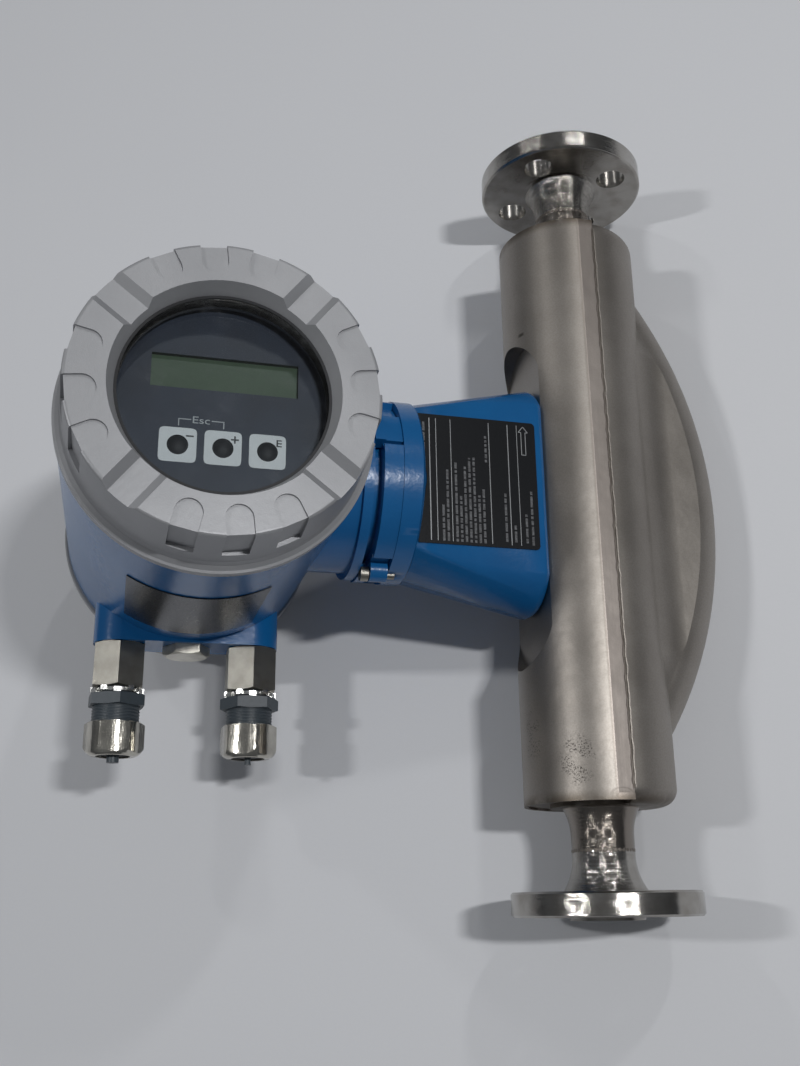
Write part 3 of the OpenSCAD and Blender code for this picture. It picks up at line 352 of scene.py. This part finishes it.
def turned_steel():
    """Machined steel: fine grooves run round the flow axis, so lights stretch along it; fewer on the rim."""
    f = Finish("turned_steel", Metallic=1.0)
    x, _, z = f.axes()
    radius = (x.square() + z.square()).root()
    on_rim = radius.over(RIM_R - 0.6, RIM_R - 0.2)
    on_face = radius.over(HUB_R + 2, HUB_R + 3) * (1 - on_rim)
    grooves = f.noise(9, 0, stretch=(0, 1, 0)) * (1 - 0.65 * on_rim)
    waves = f.noise(0.22, 2, stretch=(0.25, 1, 0.25))
    rings = (radius * 5.5).sin() * 0.5 + (radius * 3.1).sin() * 0.5
    cloud = f.noise(0.05, 3)
    smear = f.noise(0.12, 3)
    f.set("Base Color", f.mix(smear.over(0.3, 0.8), (0.42, 0.405, 0.38), (0.31, 0.29, 0.265)))
    f.set("Roughness", 0.10 + cloud * 0.06 + on_face * 0.12 + smear.over(0.5, 0.8) * 0.04)
    height = (1 - on_face) * (grooves * 0.22 + waves * 0.3) + on_face * rings * 0.012
    f.set("Normal", f.bump(height + cloud * 0.2 + smear * 0.003, 0.5))
    return f


def paint(name, base, shade, roughness, peel, grain, metallic=0.0):
    """Sprayed paint: orange peel, a little dust and a slight change of tone."""
    f = Finish(name, Metallic=metallic)
    cloud = f.noise(0.03, 3)
    dust = f.noise(1.6, 4, roughness=0.65)
    f.set("Base Color", f.mix(cloud.over(0.3, 0.7) * 0.5 + dust.over(0.5, 0.8) * 0.35, base, shade))
    f.set("Roughness", roughness + (dust - 0.5) * 0.12 + (cloud - 0.5) * 0.08)
    f.set("Normal", f.bump(f.noise(0.42, 2) * peel + f.noise(2.2, 2) * grain, 0.5))
    return f


def plain(name, base, roughness, metallic=0.0, grain=0.02, scale=1.5, shade=None, mottle=0.5):
    """A simple surface with a fine grain and a slight change of tone."""
    f = Finish(name, Metallic=metallic)
    speckle = f.noise(scale, 3, roughness=0.6)
    shade = shade or tuple(c * 0.72 for c in base)
    f.set("Base Color", f.mix(speckle.over(0.3, 0.75) * mottle, base, shade))
    f.set("Roughness", roughness + (speckle - 0.5) * 0.15)
    f.set("Normal", f.bump(speckle * grain, 0.5))
    return f


def nickel(name="nickel", swell=0.0, roughness=0.34, grain_height=0.22, bright=0.74):
    """Nickel plate, grainy on the flats. Swell makes the flats of the dome nuts look crowned."""
    f = Finish(name, Metallic=1.0)
    grain = f.noise(2.2, 3, roughness=0.7)
    cloud = f.noise(0.12, 3)
    light, dark = (tuple(c * bright for c in tone) for tone in ((0.48, 0.46, 0.41), (0.34, 0.325, 0.29)))
    f.set("Base Color", f.mix(cloud.over(0.35, 0.7) * 0.7, light, dark))
    f.set("Roughness", roughness + grain.over(0.4, 0.8) * 0.18)
    height = grain * grain_height + cloud * 0.3
    if swell:
        x, _, z = f.axes()
        reach = ((abs(x - HOUSING_X) - GLAND_X).square() + (z - GLAND_Z).square()).root()
        height = height - reach * swell * 2 + f.noise(0.35, 2, stretch=(1, 0.25, 1)) * 0.5
    f.set("Normal", f.bump(height, 0.5))
    return f


def clear_glass():
    """Toughened glass with hair scratches."""
    f = Finish("glass")
    scratch = f.noise(0.9, 2, stretch=(0.04, 1, 1)).near(0.5, 0.002, 0.012) * f.noise(0.06, 2).over(0.5, 0.7)
    clear = f.node("ShaderNodeBsdfTransparent", {}, {"Color": (0.93, 0.95, 0.96, 1)})
    gloss = f.node("ShaderNodeBsdfGlossy", {}, {"Roughness": 0.03})
    haze = f.node("ShaderNodeBsdfDiffuse", {}, {"Color": (0.5, 0.52, 0.55, 1)})
    edge = f.node("ShaderNodeFresnel", {}, {"IOR": 1.45})
    both = f.node("ShaderNodeMixShader", {}, {0: edge, 1: clear, 2: gloss})
    wiped = f.noise(0.07, 3, roughness=0.6).over(0.52, 0.75) * f.noise(0.9, 3, roughness=0.7).over(0.3, 0.7)
    worn = f.node("ShaderNodeMixShader", {}, {0: scratch * 0.06 + wiped * 0.05, 1: both, 2: haze})
    f.tree.links.new(worn.socket, f.output.inputs["Surface"])
    return f


def foil():
    """Printed foil: navy with a pale speckle."""
    f = Finish("navy_foil")
    fleck = f.noise(1.9, 2, roughness=0.8).over(0.52, 0.68)
    cloud = f.noise(0.04, 2)
    base = f.mix(cloud.over(0.35, 0.65), (0.009, 0.014, 0.029), (0.013, 0.021, 0.042))
    f.set("Base Color", f.mix(fleck * 0.55, base, (0.05, 0.065, 0.10)))
    f.set("Roughness", 0.38 + fleck * 0.1)
    f.set("Normal", f.bump(fleck * 0.01, 0.5))
    return f


STEEL = satin_steel()
BRIGHT = turned_steel()
BLUE = paint("blue_paint", (0.008, 0.130, 0.360), (0.005, 0.094, 0.28), 0.24, 0.16, 0.012)
GREY = paint("grey_paint", (0.355, 0.36, 0.375), (0.29, 0.295, 0.31), 0.45, 0.10, 0.09, 0.35)
PLATE = plain("black_plate", (0.008, 0.009, 0.011), 0.22, grain=0.01, mottle=0.4)
LABEL = plain("label_steel", (0.029, 0.032, 0.040), 0.28, metallic=0.6, grain=0.002, scale=1.4, mottle=0.3)
RUBBER = plain("black_rubber", (0.010, 0.011, 0.014), 0.6)
NICKEL = nickel()
NUT = nickel("nickel_nut", swell=0.75, roughness=0.14, grain_height=0.03, bright=1.25)
PLUG = nickel("nickel_plug", bright=1.5)
WASHER = plain("washer_steel", (0.66, 0.66, 0.64), 0.24, metallic=1.0, grain=0.25, scale=0.6)
GLAND = plain("grey_plastic", (0.062, 0.078, 0.092), 0.46, grain=0.03)
THREADS = plain("gland_thread", (0.050, 0.064, 0.077), 0.42, grain=0.02)
NAVY = foil()
OLIVE = plain("lcd_olive", (0.060, 0.100, 0.052), 0.32, grain=0.004, scale=0.3, mottle=0.35)
BOARD = plain("circuit_green", (0.01, 0.09, 0.04), 0.4)
BRASS = plain("coil_brass", (0.7, 0.5, 0.2), 0.3, metallic=1.0)
MAGNET = plain("magnet_steel", (0.3, 0.3, 0.31), 0.3, metallic=1.0)
CERAMIC = plain("ceramic", (0.75, 0.75, 0.7), 0.3)
TERMINAL = plain("terminal_plastic", (0.10, 0.17, 0.11), 0.45)
BLACK = plain("black_plastic", (0.011, 0.011, 0.013), 0.22)
PAD = plain("key_print", (0.80, 0.82, 0.82), 0.42, grain=0.008, mottle=0.15)
MARK = plain("mark_print", (0.50, 0.52, 0.53), 0.42, grain=0.008, mottle=0.15)
PRINT = plain("dark_print", (0.03, 0.032, 0.036), 0.45, grain=0.005)
SILVER = plain("silver_print", (0.42, 0.43, 0.44), 0.35, metallic=0.5, grain=0.005)
INK = plain("grey_print", (0.15, 0.155, 0.165), 0.45, grain=0.004, scale=1.1,
            shade=(0.03, 0.03, 0.033), mottle=1.0)
BEAD = plain("weld_bead", (0.25, 0.225, 0.20), 0.58, metallic=1.0, grain=0.1, scale=0.8,
             shade=(0.20, 0.178, 0.155), mottle=0.7)
GLASS = clear_glass()

by_slot = {
    "satin_steel": STEEL, "turned_steel": BRIGHT, "coil_brass": BRASS, "magnet_steel": MAGNET,
    "ceramic": CERAMIC, "black_rubber": RUBBER, "blue_paint": BLUE, "black_plate": PLATE, "nickel": NICKEL,
    "washer_steel": WASHER, "grey_paint": GREY, "black_plastic": BLACK, "navy_foil": NAVY,
    "circuit_green": BOARD, "lcd_olive": OLIVE, "terminal_plastic": TERMINAL, "grey_plastic": GLAND,
    "glass": GLASS,
}
for part in record["subparts"]:
    dress(by_slot[part["material_slot"]], part["node"])
dress(LABEL, "label_plate")
dress(NUT, "left_dome_nut", "right_dome_nut")
dress(PLUG, "blanking_plug")

# ---------------------------------------------------------------- neck hood
# The hood's tapered faces come in facets, so a merged copy with soft shading stands for them
source = frame["nodes"]["neck_hood"]
hood = bmesh.new()
hood.from_mesh(source.data)
hood.transform(source.matrix_world)
bmesh.ops.remove_doubles(hood, verts=hood.verts, dist=2e-6)
bmesh.ops.dissolve_limit(hood, angle_limit=math.radians(0.3), verts=hood.verts, edges=hood.edges)
bmesh.ops.triangulate(hood, faces=[f for f in hood.faces if len(f.verts) > 4])
bmesh.ops.recalc_face_normals(hood, faces=hood.faces)
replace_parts(shown("hood_casting", hood, "sensor", BLUE, smooth=32), "neck_hood")

# ---------------------------------------------------------------- keypad print
PAD_W, PAD_H, PAD_POWER, PAD_STEPS = 15.0, 14.8, 9, 96
PRINT_T = 0.05
SINK = 0.02
SIGN, SIGN_LINE = 3.1, 0.65


def squarish(angle):
    """How far a rounded square of half width 1 reaches at an angle."""
    return (abs(math.cos(angle)) ** PAD_POWER + abs(math.sin(angle)) ** PAD_POWER) ** (-1 / PAD_POWER)


pads = bmesh.new()
for key_x in KEYS.values():
    ways = [math.tau * i / PAD_STEPS for i in range(PAD_STEPS)]
    outline = [(key_x + PAD_W / 2 * squarish(a) * math.cos(a), KEY_Y + PAD_H / 2 * squarish(a) * math.sin(a))
               for a in ways]
    hole = [(key_x + (KEY_R + 0.35) * math.cos(a), KEY_Y + (KEY_R + 0.35) * math.sin(a)) for a in ways]
    prism(pads, outline, FOIL_Z - SINK, FOIL_Z + PRINT_T, hole)
finished("key_pads", pads, "housing", PAD, HOUSING)

signs = bmesh.new()
low, high = FOIL_Z + PRINT_T - SINK, FOIL_Z + 2 * PRINT_T
sign_x, sign_y = 4.7, KEY_Y + 4.0
bar(signs, KEYS["minus"] + sign_x, sign_y, SIGN, SIGN_LINE, low, high)
bar(signs, KEYS["plus"] + sign_x, sign_y, SIGN + 0.1, SIGN_LINE, low, high)
for side in (-1, 1):
    bar(signs, KEYS["plus"] + sign_x, sign_y + side * 0.96, SIGN_LINE, 1.28, low, high)
bar(signs, KEYS["enter"] + sign_x - 0.8, sign_y, SIGN_LINE, SIGN, low, high)
for step in (-1.28, 0, 1.28):
    bar(signs, KEYS["enter"] + sign_x + 0.28, sign_y + step, 1.6, 0.5, low, high)
finished("key_signs", signs, "housing", PRINT, HOUSING)

ESC_Y, ESC_REACH, ESC_LINE, ESC_LEG = KEY_Y + 11.3, 4.9, 0.4, 3.2
bracket = bmesh.new()
for key, side in (("minus", 1), ("plus", -1)):
    corner = KEYS[key]
    bar(bracket, corner + side * ESC_REACH / 2, ESC_Y, ESC_REACH, ESC_LINE, FOIL_Z - SINK, FOIL_Z + PRINT_T)
    bar(bracket, corner, ESC_Y - (ESC_LEG - ESC_LINE) / 2, ESC_LINE, ESC_LEG, FOIL_Z - SINK, FOIL_Z + PRINT_T)
middle = (KEYS["minus"] + KEYS["plus"]) / 2
word = letters("Esc", 6.9, 3.0, FOIL_Z - SINK, FOIL_Z + PRINT_T, (middle, ESC_Y))
finished("escape_mark", joined(bracket, word), "housing", MARK, HOUSING)

# ---------------------------------------------------------------- nameplate rules and flow arrow
rules = bmesh.new()
RULE_FROM, RULE_TO, RULE_T, INK_T = -31.5, 31.0, 0.04, 0.03
for rule_x, width in ((-88.7, 0.45), (-85.4, 0.3), (-78.0, 0.3), (-58.4, 0.35), (-48.6, 0.4), (-43.8, 0.3)):
    bar(rules, rule_x, (RULE_FROM + RULE_TO) / 2, width, RULE_TO - RULE_FROM,
        PLATE_Z - SINK, PLATE_Z + RULE_T)
ARROW_X, ARROW_TIP, ARROW_BASE, ARROW_TAIL = -40.4, 30.7, 27.6, 15.6
TAIL_HALF, HEAD_HALF = 1.1, 2.4
arrow = [(-TAIL_HALF, ARROW_TAIL), (TAIL_HALF, ARROW_TAIL), (TAIL_HALF, ARROW_BASE), (HEAD_HALF, ARROW_BASE),
         (0, ARROW_TIP), (-HEAD_HALF, ARROW_BASE), (-TAIL_HALF, ARROW_BASE)]
for (ax, ay), (bx, by) in zip(arrow, arrow[1:] + arrow[:1]):
    stroke(rules, (ARROW_X + ax, ay), (ARROW_X + bx, by), 0.35, PLATE_Z - SINK, PLATE_Z + RULE_T)
finished("nameplate_rules", rules, "sensor", SILVER)

roll = random.Random(11)
rows = bmesh.new()
LETTER_H = 1.15
for row_x, row_from, row_to in (
        (-91.6, 2, 28), (-82.4, -31.5, -14), (-80.1, -31.5, 4), (-75.8, -31.5, 8), (-73.5, -31.5, -9),
        (-71.2, -31.5, 7), (-68.9, -31.5, 11), (-66.6, -31.5, 12), (-64.3, -31.5, -8), (-62.0, -31.5, -4),
        (-60.2, 10, 24), (-51.0, -30, -6), (-46.4, -30, -22), (-40.6, -30, -16), (-37.6, -31, -4)):
    at = row_from
    while at < row_to:
        length = min(roll.choice((1.4, 2.2, 3.1, 4.4, 5.6)), row_to - at + 0.6)
        bar(rows, row_x, at + length / 2, LETTER_H, length, PLATE_Z - SINK, PLATE_Z + INK_T)
        at += length + 0.8
finished("nameplate_print", rows, "sensor", INK)

# ---------------------------------------------------------------- gland threads
PITCH, DEPTH = 1.5, 0.28
for side, name in ((-1, "left"), (1, "right")):
    profile = [(THREAD_R - 0.6, THREAD_FROM)]
    turns = int((THREAD_TO - THREAD_FROM) / PITCH)
    for k in range(turns):
        start = THREAD_FROM + 0.15 + k * PITCH
        profile += [(THREAD_R - 0.15, start), (THREAD_R + DEPTH, start + PITCH * 0.38),
                    (THREAD_R + DEPTH, start + PITCH * 0.62), (THREAD_R - 0.15, start + PITCH * 0.98)]
    profile += [(THREAD_R - 0.6, THREAD_FROM + 0.2 + turns * PITCH)]
    entry = Matrix.Translation((side * GLAND_X, ENTRY_Y, GLAND_Z))
    place = HOUSING @ entry @ Matrix.Rotation(math.radians(90), 4, "X")
    finished(name + "_gland_thread", turned(profile), "housing", THREADS, place, smooth=25)

# ---------------------------------------------------------------- weld beads
def bead_round(at, radius, width, rise):
    """A rippled bead round a neck, at a distance along the flow axis."""
    profile = [(radius - 0.4, at - width)]
    profile += [(radius - 0.1 + rise * math.cos(math.radians(a)), at + width * math.sin(math.radians(a)))
                for a in range(-90, 91, 30)]
    profile += [(radius - 0.4, at + width)]
    mesh = turned(profile, 128)
    for v in mesh.verts:
        across = math.hypot(v.co.x, v.co.y)
        if across > radius:
            ripple = 1 + 0.005 * math.sin(math.atan2(v.co.y, v.co.x) * 40) + roll.uniform(-0.003, 0.003)
            v.co.x *= ripple
            v.co.y *= ripple
    return mesh


for side, name in ((-1, "inlet"), (1, "outlet")):
    ring = bead_round(WELD_Y, NECK_R, 1.1, 0.14)
    finished(name + "_neck_weld", ring, "sensor", BEAD,
             Matrix.Rotation(math.radians(-90 * side), 4, "X"), smooth=60)

SEAM_END, SEAM_STEPS, SEAM_ROOT = 144, 230, -0.25
for side, name in ((1, "front"), (-1, "rear")):
    seam = bmesh.new()
    ribs = []
    for i in range(SEAM_STEPS + 1):
        y = -SEAM_END + 2 * SEAM_END * i / SEAM_STEPS
        sway = 0.16 * math.sin(y * 0.31) + 0.10 * math.sin(y * 0.83 + 1) + roll.uniform(-0.05, 0.05)
        half = 0.26 + 0.08 * math.sin(y * 1.9) + roll.uniform(-0.05, 0.05)
        crown = 0.03 + roll.uniform(-0.02, 0.02)
        across = [(-half * 1.6, SEAM_ROOT), (-half * 0.6, crown * 0.6), (0, crown),
                  (half * 0.6, crown * 0.6), (half * 1.6, SEAM_ROOT)]
        ribs.append([seam.verts.new((SEAM_X + sway + dx, y, side * (SEAM_Z + dz))) for dx, dz in across])
    for a, b in zip(ribs, ribs[1:]):
        for k in range(len(a)):
            m = (k + 1) % len(a)
            seam.faces.new((a[k], a[m], b[m], b[k]))
    seam.faces.new(ribs[0])
    seam.faces.new(ribs[-1][::-1])
    finished(name + "_seam_weld", seam, "sensor", BEAD, smooth=70)

# ---------------------------------------------------------------- floor, light and camera
ground = bmesh.new()
FLOOR_HALF = 6.0
bmesh.ops.create_grid(ground, x_segments=1, y_segments=1, size=FLOOR_HALF)
floor_mesh = bpy.data.meshes.new("floor")
ground.to_mesh(floor_mesh)
ground.free()
floor = bpy.data.objects.new("floor", floor_mesh)
cloth = Finish("floor", Roughness=0.8)
weave = cloth.noise(0.6, 3)
# Broad soft patches of a slightly darker tone over the floor
broad_patches = cloth.noise(0.006, 2)
cloth.set("Base Color", cloth.mix(weave * 0.25 + broad_patches * 0.3, (0.72, 0.73, 0.755), (0.66, 0.67, 0.70)))
cloth.set("Normal", cloth.bump(weave * 0.08, 0.4))
floor_mesh.materials.append(cloth.material)
bpy.context.scene.collection.objects.link(floor)

scene = bpy.context.scene
scene.view_settings.view_transform = "Standard"
world = bpy.data.worlds.new("studio")
scene.world = world
world.use_nodes = True
sky = world.node_tree
ways = sky.nodes.new("ShaderNodeTexCoord")
split = sky.nodes.new("ShaderNodeSeparateXYZ")
ramp = sky.nodes.new("ShaderNodeValToRGB")
sky.links.new(ways.outputs["Generated"], split.inputs[0])
sky.links.new(split.outputs["Z"], ramp.inputs[0])
sky.links.new(ramp.outputs["Color"], sky.nodes["Background"].inputs["Color"])
HORIZON, ZENITH = (0.07, 0.074, 0.08, 1), (0.16, 0.165, 0.172, 1)
ramp.color_ramp.elements[0].position = 0.1
ramp.color_ramp.elements[0].color = HORIZON
ramp.color_ramp.elements[1].position = 0.95
ramp.color_ramp.elements[1].color = ZENITH
sky.nodes["Background"].inputs["Strength"].default_value = 1.0
LIT_POINT = Vector((0, 0, 0.1))


def lamp(name, place, size, power):
    """A rectangular lamp that faces the meter."""
    light = bpy.data.lights.new(name, "AREA")
    light.shape = "RECTANGLE"
    light.size, light.size_y = size
    light.energy = power
    holder = bpy.data.objects.new(name, light)
    holder.location = place
    holder.rotation_euler = (LIT_POINT - Vector(place)).to_track_quat("-Z", "Y").to_euler()
    scene.collection.objects.link(holder)


# Two rows of ceiling lamps, parallel to the flow; the right row is the brighter one
LAMP_SIZE = (0.05, 0.15)
lamp("left_near", (-0.85, 0.0, 1.5), LAMP_SIZE, 5)
lamp("left_far", (-0.85, 1.15, 1.5), LAMP_SIZE, 1.5)
lamp("right_near", (0.85, 0.0, 1.5), LAMP_SIZE, 10)
lamp("right_far", (0.85, 1.15, 1.5), LAMP_SIZE, 3)

# The camera looks at the meter from above the bulge's side
sight = bpy.data.cameras.new("camera")
sight.sensor_fit = "VERTICAL"
SENSOR_H = 36
sight.sensor_height = SENSOR_H
sight.lens = SENSOR_H * 1125.56 / 1066
sight.clip_start = 0.01
viewer = bpy.data.objects.new("camera", sight)
viewer.location = FLOW + Vector((0.01952, -0.1941, 0.55854))
viewer.rotation_euler = Euler([math.radians(a) for a in (18.142, 11.903, -0.704)], "XYZ")
scene.collection.objects.link(viewer)
scene.camera = viewer
